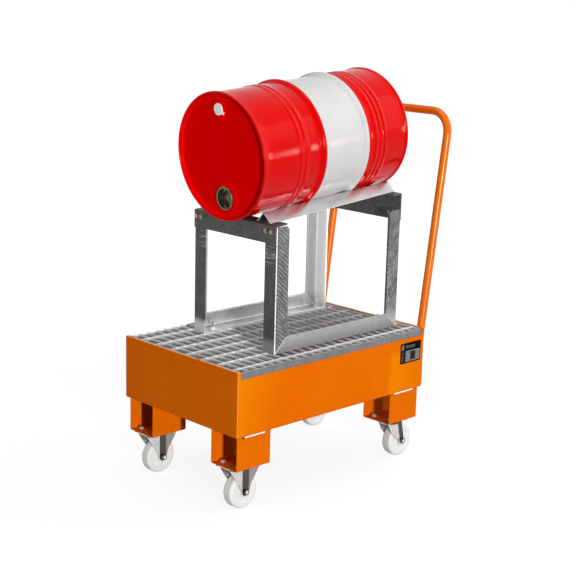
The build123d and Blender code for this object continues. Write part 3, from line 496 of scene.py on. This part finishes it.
# painted reflection: the pressed rib of the forks is very dark
forkRib = {"middle": 0.19275, "out": 0.0241, "fade": 0.0008, "colour": rgb(0.085, 0.076, 0.072)}


def axleLine(wheel):
    # the bolt of a wheel lies on the middle of the wheel's box, seen along Y
    low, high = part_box(wheel)
    middle = ((low[0] + high[0]) / 2, 0.0, (low[2] + high[2]) / 2)
    # painted shade: beyond bright from the axle a bolt head's rim is dark round its bright middle
    return {"middle": middle, "bright": 0.0046, "fade": 0.0012, "colour": rgb(0.12, 0.105, 0.095)}


frontAxle, rearAxle = axleLine("wheel_front_left"), axleLine("wheel_rear_left")
# painted shade: the rear half of the front forks is darker
forkWing = {"from": frontAxle["middle"][0] + 0.006, "fade": 0.004, "colour": rgb(0.33, 0.29, 0.275)}

sheetCoat = {"gloss": 0.4, "specular": 0.045, "tint": rgb(1.0, 0.6, 0.0)}
tubeCoat = {"gloss": 0.18, "specular": 0.3, "tint": rgb(1.0, 0.8, 0.5)}
footBoxes = (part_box("foot_front_left"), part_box("foot_rear_left"))
forkGreys = (rgb(0.7, 0.69, 0.69), rgb(0.58, 0.57, 0.57))
axleGreys = (rgb(0.95, 0.88, 0.8), rgb(0.75, 0.67, 0.6))

finishes = {
    "orange": orangePaint("orangePaint", **sheetCoat),
    "orangeFoot": orangePaint("orangeFootPaint", **sheetCoat, channels=footBoxes),
    "orangePan": orangePaint("orangePanPaint", **sheetCoat, onPan=True),
    "orangeTube": orangePaint("orangeTubePaint", **tubeCoat),
    "frontPost": frontPostZinc(),
    "rearPost": rearPostZinc(),
    "palePost": palePostZinc(),
    "beamZinc": galvanised("beamZinc", rgb(0.05, 0.05, 0.049), rgb(0.13, 0.13, 0.13), 0.12, 0.4, 0.3),
    "nearRail": galvanised("nearRailZinc", rgb(0.33, 0.33, 0.332), rgb(0.5, 0.5, 0.505), 0.85, 0.36, 0.3, 0.4, 35.0),
    # painted light: the far rail, whose inner face lies in shade, gets a paler zinc than the near rail
    "farRail": galvanised("farRailZinc", rgb(0.5, 0.5, 0.502), rgb(0.7, 0.7, 0.705), 0.85, 0.36, 0.3, 0.3, -35.0),
    "deckZinc": deckZinc(),
    "saddleZinc": galvanised("saddleZinc", rgb(0.5, 0.5, 0.51), rgb(0.6, 0.6, 0.61), 1.0, 0.18, 0.1),
    "weldZinc": galvanised("weldZinc", rgb(0.5, 0.5, 0.5), rgb(0.85, 0.85, 0.85), 0.5, 0.35),
    "frontFork": platedSteel("frontForkPlate", *forkGreys, 0.16, rib=forkRib, wing=forkWing),
    "rearFork": platedSteel("rearForkPlate", *forkGreys, 0.16, rib=forkRib),
    "brightPlate": platedSteel("brightPlate", rgb(0.62, 0.61, 0.58), rgb(0.45, 0.44, 0.42), 0.24),
    "whitePlate": platedSteel("whitePlate", rgb(0.6, 0.58, 0.55), rgb(0.44, 0.42, 0.4), 0.3, 0.6),
    "nutPlate": platedSteel("nutPlate", rgb(0.95, 0.95, 0.94), rgb(0.88, 0.88, 0.87), 0.4, 0.0),
    "frontAxle": platedSteel("frontAxlePlate", *axleGreys, 0.16, 1.0, axle=frontAxle),
    "rearAxle": platedSteel("rearAxlePlate", *axleGreys, 0.16, 1.0, axle=rearAxle),
    "polished": platedSteel("bearingSteel", rgb(0.6, 0.6, 0.61), rgb(0.5, 0.5, 0.51), 0.15, 1.0),
    "yellowZinc": platedSteel("yellowZinc", rgb(0.33, 0.3, 0.22), rgb(0.18, 0.155, 0.1), 0.24),
    "bungRing": platedSteel("bungRingZinc", rgb(0.3, 0.27, 0.2), rgb(0.14, 0.12, 0.085), 0.24),
    # painted shade: the plug, set deep inside its ring, gets a very dark zinc
    "bungPlug": platedSteel("bungPlugZinc", rgb(0.15, 0.13, 0.09), rgb(0.045, 0.038, 0.026), 0.24),
    "nylon": nylon(),
    "drum": enamel("drumEnamel", True),
    "head": enamel("headEnamel", False),
    "cap": moulded("capPlastic", rgb(0.97, 0.97, 0.96), rgb(0.93, 0.93, 0.92), 0.3),
    "label": labelFoil(),
}
print("finishes made:", len(finishes))


# finish and edge radius of each CAD node, by the start of its name; edge in metres, 0 leaves it sharp

nodeFinish = {
    "tray_pan": ("orangePan", 0.0008), "push_handle": ("orangeTube", 0.0), "handle_gussets": ("orange", 0.0006),
    "foot": ("orangeFoot", 0.0008), "label_plate": ("label", 0.0002),
    "fixed_fork": ("frontFork", 0.0005), "swivel_plate": ("brightPlate", 0.0005), "swivel_fork": ("rearFork", 0.0005),
    "king_pin": ("brightPlate", 0.0003), "swivel_balls": ("polished", 0.0), "swivel_axle": ("rearAxle", 0.0004),
    "fixed_axle": ("frontAxle", 0.0004), "caster": ("whitePlate", 0.0003), "wheel": ("nylon", 0.0),
    "grating": ("deckZinc", 0.0004), "post_front": ("frontPost", 0.001), "post_rear_left": ("rearPost", 0.001),
    "post_rear_right": ("palePost", 0.001), "base_rail_left": ("nearRail", 0.001),
    "base_rail_right": ("farRail", 0.001), "cross_member": ("beamZinc", 0.001),
    "saddle_ridge": ("saddleZinc", 0.0005), "frame": ("yellowZinc", 0.0004), "clamp": ("brightPlate", 0.0003),
    "clamp_nuts": ("nutPlate", 0.0003), "clamp_washers": ("nutPlate", 0.0003), "drum_shell": ("drum", 0.0),
    "drum_head": ("head", 0.0), "bung_rings": ("bungRing", 0.0), "bung_plug": ("bungPlug", 0.0),
    "vent_cap": ("cap", 0.0005),
}
edgeLook = {"merge": 2e-6, "segments": 2, "angle": 35, "flatWeight": 80}


def softEdges():
    # joins the loose triangles of a node and drops its old normals, so that a bevel can follow
    group = bpy.data.node_groups.new("softEdges", "GeometryNodeTree")
    group.interface.new_socket("Geometry", in_out="INPUT", socket_type="NodeSocketGeometry")
    group.interface.new_socket("Geometry", in_out="OUTPUT", socket_type="NodeSocketGeometry")
    start = group.nodes.new("NodeGroupInput")
    merge = group.nodes.new("GeometryNodeMergeByDistance")
    merge.inputs["Distance"].default_value = edgeLook["merge"]
    bare = group.nodes.new("GeometryNodeRemoveAttribute")
    bare.inputs["Name"].default_value = "custom_normal"
    smooth = group.nodes.new("GeometryNodeSetShadeSmooth")
    done = group.nodes.new("NodeGroupOutput")
    chain = [start, merge, bare, smooth, done]
    for first, second in zip(chain, chain[1:]):
        group.links.new(first.outputs[0], second.inputs[0])
    return group


def dressNodes():
    # each node gets the finish with the longest matching start, and a small bevel where its edge is not sharp
    group = softEdges()
    for name, node in sorted(nodes.items()):
        key = max((k for k in nodeFinish if name.startswith(k)), key=len)
        finish, edge = nodeFinish[key]
        node.data.materials.clear()
        node.data.materials.append(finishes[finish])
        if edge > 0:
            join = node.modifiers.new("softEdges", "NODES")
            join.node_group = group
            bevel = node.modifiers.new("edge", "BEVEL")
            bevel.width = edge
            bevel.segments = edgeLook["segments"]
            bevel.limit_method = "ANGLE"
            bevel.angle_limit = math.radians(edgeLook["angle"])
            flat = node.modifiers.new("flat", "WEIGHTED_NORMAL")
            flat.weight = edgeLook["flatWeight"]
            flat.keep_sharp = False


dressNodes()
print("nodes dressed")


# new surfaces: every shape is a grid of points, worked out as whole arrays

def gridFaces(rows, columns, wrapRows, wrapColumns):
    # corner numbers of the quads of a grid; a wrapped side joins its last line to its first
    down = np.arange(rows if wrapRows else rows - 1)[:, None]
    over = np.arange(columns if wrapColumns else columns - 1)[None, :]
    nextDown, nextOver = (down + 1) % rows, (over + 1) % columns
    corners = [row * columns + column for row, column in
               ((down, over), (nextDown, over), (nextDown, nextOver), (down, nextOver))]
    return np.stack(np.broadcast_arrays(*corners), -1).reshape(-1, 4)


def closedTube(grid):
    # rings of a tube with a fan on each end; returns points, quads and triangles
    rings, sides = grid.shape[:2]
    points = np.concatenate([grid.reshape(-1, 3), grid[0].mean(0)[None], grid[-1].mean(0)[None]])
    side = np.arange(sides)
    first, last = rings * sides, rings * sides + 1
    lowFan = np.stack([np.full(sides, first), (side + 1) % sides, side], -1)
    topRing = (rings - 1) * sides
    highFan = np.stack([np.full(sides, last), topRing + side, topRing + (side + 1) % sides], -1)
    return points, gridFaces(rings, sides, False, True), np.concatenate([lowFan, highFan])


def turnOutwards(points, quads, fans):
    # the signed volume of a closed shell is positive when its faces point out
    triangles = np.concatenate([quads[:, [0, 1, 2]], quads[:, [0, 2, 3]], fans])
    a, b, c = (points[triangles[:, i]] for i in range(3))
    if np.einsum("ij,ij->i", a, np.cross(b, c)).sum() < 0:
        return quads[:, ::-1], fans[:, ::-1]
    return quads, fans


def makePiece(name, shells, finish, body):
    # one object from closed shells; each shell is (points, quads, triangles)
    points, faces, count = [], [], 0
    for shell, quads, fans in shells:
        quads, fans = turnOutwards(shell, quads, fans)
        points.append(shell)
        faces += (quads + count).tolist() + (fans + count).tolist()
        count += len(shell)
    mesh = bpy.data.meshes.new(name)
    mesh.from_pydata(np.concatenate(points).tolist(), [], faces)
    mesh.polygons.foreach_set("use_smooth", np.ones(len(mesh.polygons), dtype=bool))
    mesh.materials.append(finishes[finish])
    piece = bpy.data.objects.new(name, mesh)
    bpy.context.scene.collection.objects.link(piece)
    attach(piece, body)
    return piece


# drum shell with rolled rims, two hoops and low beads; lengths in metres from the front rim
drumShape = {"length": 0.617, "radius": 0.189, "sheet": 0.0012, "sides": 256,
             "chimePeak": 0.1929, "chimeAt": 0.006, "chimeEnd": 0.013, "nose": 0.1896, "lip": 0.186, "seat": 0.008,
             "hoops": [0.243, 0.427], "hoopHalf": 0.0142, "hoopRise": 0.0099,
             "beads": [0.151, 0.1715, 0.4725, 0.493, 0.5135], "beadHalf": 0.0055, "beadRise": 0.0022,
             "rimSteps": 9, "hoopSteps": 35, "beadSteps": 15, "wallSteps": 24}


def drumProfile():
    # closed section in (along, radius): quarter ellipses round the lip and the nose, a half cosine back to the wall,
    # ribs of rise (1 - |t|^2.2)^1.6 for t from -1 to 1 across each rib, the rim mirrored at the rear, and a plain
    # inner wall
    s = drumShape
    turn = np.linspace(0, np.pi / 2, s["rimSteps"])
    lip = np.stack([s["seat"] * (1 - np.sin(turn)), s["nose"] - (s["nose"] - s["lip"]) * np.cos(turn)], -1)
    nose = np.stack([s["chimeAt"] * (1 - np.cos(turn)), s["nose"] + (s["chimePeak"] - s["nose"]) * np.sin(turn)], -1)
    fall = np.linspace(0, 1, s["rimSteps"])
    back = np.stack([s["chimeAt"] + (s["chimeEnd"] - s["chimeAt"]) * fall,
                     s["radius"] + (s["chimePeak"] - s["radius"]) * (0.5 + 0.5 * np.cos(np.pi * fall))], -1)
    rim = np.concatenate([lip, nose[1:], back[1:]])
    ribs = [(at, s["hoopHalf"], s["hoopRise"], s["hoopSteps"]) for at in s["hoops"]]
    ribs += [(at, s["beadHalf"], s["beadRise"], s["beadSteps"]) for at in s["beads"]]
    stops = [np.linspace(s["chimeEnd"], s["length"] - s["chimeEnd"], s["wallSteps"])[1:-1]]
    stops += [middle + np.linspace(-1, 1, steps) * half for middle, half, rise, steps in ribs]
    along = np.unique(np.concatenate(stops).round(6))
    radius = np.full_like(along, s["radius"])
    for middle, half, rise, steps in ribs:
        t = np.clip(np.abs(along - middle) / half, 0, 1)
        radius += rise * (1 - t ** 2.2) ** 1.6
    wall = np.stack([along, radius], -1)
    rear = rim[::-1] * (-1, 1) + (s["length"], 0)
    inner = s["radius"] - s["sheet"]
    inside = np.array([(s["length"] - s["seat"], inner), (s["seat"], inner)])
    return np.concatenate([rim, wall, rear, inside])


def makeDrumSkin():
    # the section turned about the drum's axis
    section = drumProfile()
    turn = np.linspace(0, 2 * np.pi, drumShape["sides"], endpoint=False)
    start, along, upward = (np.array(drumAxis[key]) for key in ("start", "along", "upward"))
    outward = np.cos(turn)[:, None] * upward + np.sin(turn)[:, None] * np.array((0.0, 1.0, 0.0))
    grid = start + section[:, None, :1] * along + section[:, None, 1:] * outward[None]
    quads = gridFaces(len(section), len(turn), True, True)
    shell = (grid.reshape(-1, 3), quads, np.zeros((0, 3), int))
    skin = makePiece("drumSkin", [shell], "drum", "drum")
    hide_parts("drum_shell")
    print("drum skin:", len(quads), "quads")


# stand corner and clamp places that the added pieces follow, in metres
standPlace = {"front": -0.256057, "rear": 0.284443, "side": 0.184, "deck": 0.4382, "leg": 0.05,
              "studIn": 0.04, "studSide": 0.14}
studThread = {"radius": 0.004, "pitch": 0.00125, "depth": 0.00062, "perTurn": 6, "sides": 20, "bevel": 0.0008}


def makeStudThreads():
    # the radius falls by depth times a triangle wave of (height / pitch - turn), so the groove winds up the rod
    low, high = (corner[2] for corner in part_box("clamp_studs"))
    steps = int((high - low) / studThread["pitch"] * studThread["perTurn"])
    height = np.linspace(low, high, steps)[:, None]
    turn = np.linspace(0, 2 * np.pi, studThread["sides"], endpoint=False)[None, :]
    wave = (height / studThread["pitch"] - turn / (2 * np.pi)) % 1.0
    radius = studThread["radius"] - studThread["depth"] * (1 - np.abs(2 * wave - 1))
    ends = np.minimum(height - low, high - height) / studThread["bevel"]
    radius = radius - studThread["bevel"] * (1 - np.clip(ends, 0, 1))
    shells = []
    for x in (standPlace["front"] + standPlace["studIn"], standPlace["rear"] - standPlace["studIn"]):
        for y in (-standPlace["studSide"], standPlace["studSide"]):
            grid = np.stack([x + radius * np.cos(turn), y + radius * np.sin(turn), height + 0 * turn], -1)
            shells.append(closedTube(grid))
    studs = makePiece("studThreads", shells, "brightPlate", "deck")
    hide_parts("clamp_studs")
    print("stud threads:", len(shells))


weldLook = {"ripple": 0.0021, "step": 0.0005, "sides": 10, "swell": 0.16, "sideHint": (0.31, 0.77, 0.55), "tip": 0.02}


def beadShell(begin, stop, radius):
    # a rod of weld: radius * sqrt(1 - (1 - e)^2) rounds the ends, for e from 0 at a tip to 1 a radius further in, and
    # 1 - swell * sin(pi * at / ripple)^2 swells and pinches it along the run
    begin, stop = np.array(begin, float), np.array(stop, float)
    run = stop - begin
    length = np.linalg.norm(run)
    way = run / length
    side = np.cross(way, weldLook["sideHint"])
    side /= np.linalg.norm(side)
    other = np.cross(way, side)
    at = np.linspace(0, length, int(length / weldLook["step"]) + 2)
    ends = np.clip(np.minimum(at, length - at) / radius, 0, 1)
    size = radius * np.sqrt(np.clip(1 - (1 - ends) ** 2, weldLook["tip"], 1))
    size = size * (1 - weldLook["swell"] * np.abs(np.sin(np.pi * at / weldLook["ripple"])) ** 2)
    turn = np.linspace(0, 2 * np.pi, weldLook["sides"], endpoint=False)
    ring = np.cos(turn)[:, None] * side + np.sin(turn)[:, None] * other
    grid = begin + at[:, None, None] * way + size[:, None, None] * ring[None]
    return closedTube(grid)


mitreWeld = {"radius": 0.0016, "first": 0.003, "lastShare": 0.97, "sunk": 0.0008}


def makeMitreWelds():
    # the slanting joints between posts and base rails, on the outer faces
    first, last = mitreWeld["first"], standPlace["leg"] * mitreWeld["lastShare"]
    shells = []
    for x, inward in ((standPlace["front"], 1), (standPlace["rear"], -1)):
        for way in (-1, 1):
            y = way * (standPlace["side"] - mitreWeld["sunk"])
            begin, stop = ((x + inward * at, y, standPlace["deck"] + at) for at in (first, last))
            shells.append(beadShell(begin, stop, mitreWeld["radius"]))
    makePiece("mitreWelds", shells, "weldZinc", "deck")
    print("mitre welds:", len(shells))


gussetWeld = {"radius": 0.0019, "proud": 0.0006, "thick": 0.004, "lowIn": 0.006, "highIn": 0.004}
footWeld = {"radius": 0.0013, "first": 0.002, "last": 0.017, "sunk": 0.0004}


def makeFrameWelds():
    # painted fillets: each gusset to the rear wall, and each foot's upper corners to the pan
    shells = []
    low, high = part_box("handle_gussets")
    x = low[0] + gussetWeld["proud"]
    for y in (low[1], high[1]):
        inner = y - gussetWeld["thick"] if y > 0 else y + gussetWeld["thick"]
        for line in (y, inner):
            begin, stop = (x, line, low[2] + gussetWeld["lowIn"]), (x, line, high[2] - gussetWeld["highIn"])
            shells.append(beadShell(begin, stop, gussetWeld["radius"]))
    first, last = footWeld["first"], footWeld["last"]
    for name in sorted(nodes):
        if name.startswith("foot_"):
            low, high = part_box(name)
            z = high[2] - footWeld["sunk"]
            for y in (low[1], high[1]):
                for begin, stop in ((low[0] + first, low[0] + last), (high[0] - last, high[0] - first)):
                    shells.append(beadShell((begin, y, z), (stop, y, z), footWeld["radius"]))
    makePiece("frameWelds", shells, "orange", "tray")
    print("frame welds:", len(shells))


makeDrumSkin()
makeStudThreads()
makeMitreWelds()
makeFrameWelds()


# studio: floor, lamps, air and camera

studio = {"floorSize": 120.0, "floorGrey": rgb(0.12, 0.12, 0.12), "floorLit": rgb(0.22, 0.22, 0.22),
          "floorGlow": 0.87, "glowNear": 1.2, "glowFar": 3.0, "air": 0.28, "aim": (0.0, 0.0, 0.7),
          "lamps": {
              "keyLamp": {"turn": -23.5, "rise": 3.4, "far": 14.0, "size": (0.45, 2.6), "power": 1560.0},
              "sideBox": {"turn": 40.9, "rise": 5.4, "far": 4.03, "size": (0.26, 0.5), "power": 13.0},
              "topBox": {"turn": 0.0, "rise": 90.0, "far": 3.5, "size": (2.2, 2.2), "power": 38.0},
              "frontBox": {"turn": -80.0, "rise": 8.0, "far": 5.0, "size": (2.4, 2.4), "power": 17.0},
              "highBox": {"turn": 66.0, "rise": 26.0, "far": 5.0, "size": (4.4, 3.4), "power": 66.0}}}


def isSeen(tree):
    # 1 for rays that see the background: from the camera, mirrored or through glass
    rays = addNode(tree, "LightPath")
    both = maths(tree, "MAXIMUM", rays.outputs["Is Camera Ray"], rays.outputs["Is Glossy Ray"])
    return maths(tree, "MAXIMUM", both, rays.outputs["Is Transmission Ray"])


def makeFloor():
    # grey to bounced light and white to the rays that see it; the glow rises to 1 from glowNear to glowFar metres away,
    # and near the tray the floor keeps a shadow
    half = studio["floorSize"] / 2
    corners = np.array([(-half, -half, 0), (half, -half, 0), (half, half, 0), (-half, half, 0)])
    mesh = bpy.data.meshes.new("studioFloor")
    mesh.from_pydata(corners.tolist(), [], [(0, 1, 2, 3)])
    floor = bpy.data.objects.new("studioFloor", mesh)
    bpy.context.scene.collection.objects.link(floor)
    finish = bpy.data.materials.new("paleFloor")
    finish.use_nodes = True
    tree = finish.node_tree
    tree.nodes.clear()
    paper = addNode(tree, "BsdfDiffuse", {"Color": studio["floorGrey"]})
    place = addNode(tree, "TexCoord").outputs["Object"]
    away = addNode(tree, "VectorMath", {0: place}, operation="LENGTH").outputs["Value"]
    rising = ramp(tree, away, studio["glowNear"], studio["glowFar"], studio["floorGlow"], 1.0)
    white = addNode(tree, "BsdfDiffuse", {"Color": studio["floorLit"]})
    glow = addNode(tree, "Emission", {"Color": rgb(1, 1, 1), "Strength": rising})
    lit = addNode(tree, "AddShader", {0: white.outputs[0], 1: glow.outputs[0]})
    pick = addNode(tree, "MixShader", {0: isSeen(tree), 1: paper.outputs[0], 2: lit.outputs[0]})
    addNode(tree, "OutputMaterial", {"Surface": pick.outputs[0]})
    mesh.materials.append(finish)


def makeAir():
    # dim light from all round, white to the rays that see it
    world = bpy.data.worlds.new("studioAir")
    bpy.context.scene.world = world
    world.use_nodes = True
    tree = world.node_tree
    tree.nodes.clear()
    dim = addNode(tree, "Background", {"Color": rgb(1, 1, 1), "Strength": studio["air"]})
    white = addNode(tree, "Background", {"Color": rgb(1, 1, 1), "Strength": 1.0})
    pick = addNode(tree, "MixShader", {0: isSeen(tree), 1: dim.outputs[0], 2: white.outputs[0]})
    addNode(tree, "OutputWorld", {"Surface": pick.outputs[0]})


def makeLamp(name, turn, rise, far, size, power):
    # an area lamp far from the aim, turned from straight ahead of the near side and raised, both in degrees
    turn, rise, aim = math.radians(turn), math.radians(rise), Vector(studio["aim"])
    way = Vector((math.sin(turn) * math.cos(rise), -math.cos(turn) * math.cos(rise), math.sin(rise)))
    lamp = bpy.data.lights.new(name, "AREA")
    lamp.shape = "RECTANGLE"
    lamp.size, lamp.size_y = size
    lamp.energy = power
    thing = bpy.data.objects.new(name, lamp)
    bpy.context.scene.collection.objects.link(thing)
    thing.location = aim + way * far
    thing.rotation_euler = (-way).to_track_quat("-Z", "Y").to_euler()


cameraFit = {"turn": -44.388, "rise": 13.136, "roll": 1.5035, "lens": 83.524, "far": 4.20687,
             "target": (-0.02727, -0.00051, 0.57596), "sensor": 36.0, "clipEnd": 200.0}


def makeCamera():
    # back points from the target to the camera; the roll turns right and up about it
    turn, rise, roll = (math.radians(cameraFit[k]) for k in ("turn", "rise", "roll"))
    back = Vector((math.sin(turn) * math.cos(rise), -math.cos(turn) * math.cos(rise), math.sin(rise)))
    right = Vector((math.cos(turn), math.sin(turn), 0.0))
    up = back.cross(right)
    rolledRight = right * math.cos(roll) + up * math.sin(roll)
    rolledUp = up * math.cos(roll) - right * math.sin(roll)
    lens = bpy.data.cameras.new("photoCamera")
    lens.lens = cameraFit["lens"]
    lens.sensor_width = cameraFit["sensor"]
    lens.clip_end = cameraFit["clipEnd"]
    thing = bpy.data.objects.new("photoCamera", lens)
    bpy.context.scene.collection.objects.link(thing)
    place = Vector(cameraFit["target"]) + back * cameraFit["far"]
    turnPart = Matrix((rolledRight, rolledUp, back)).transposed().to_4x4()
    thing.matrix_world = Matrix.Translation(place) @ turnPart
    bpy.context.scene.camera = thing


makeFloor()
makeAir()
for lampName, lampFit in studio["lamps"].items():
    makeLamp(lampName, **lampFit)
makeCamera()
bpy.context.scene.view_settings.view_transform = "Standard"
print("studio ready")
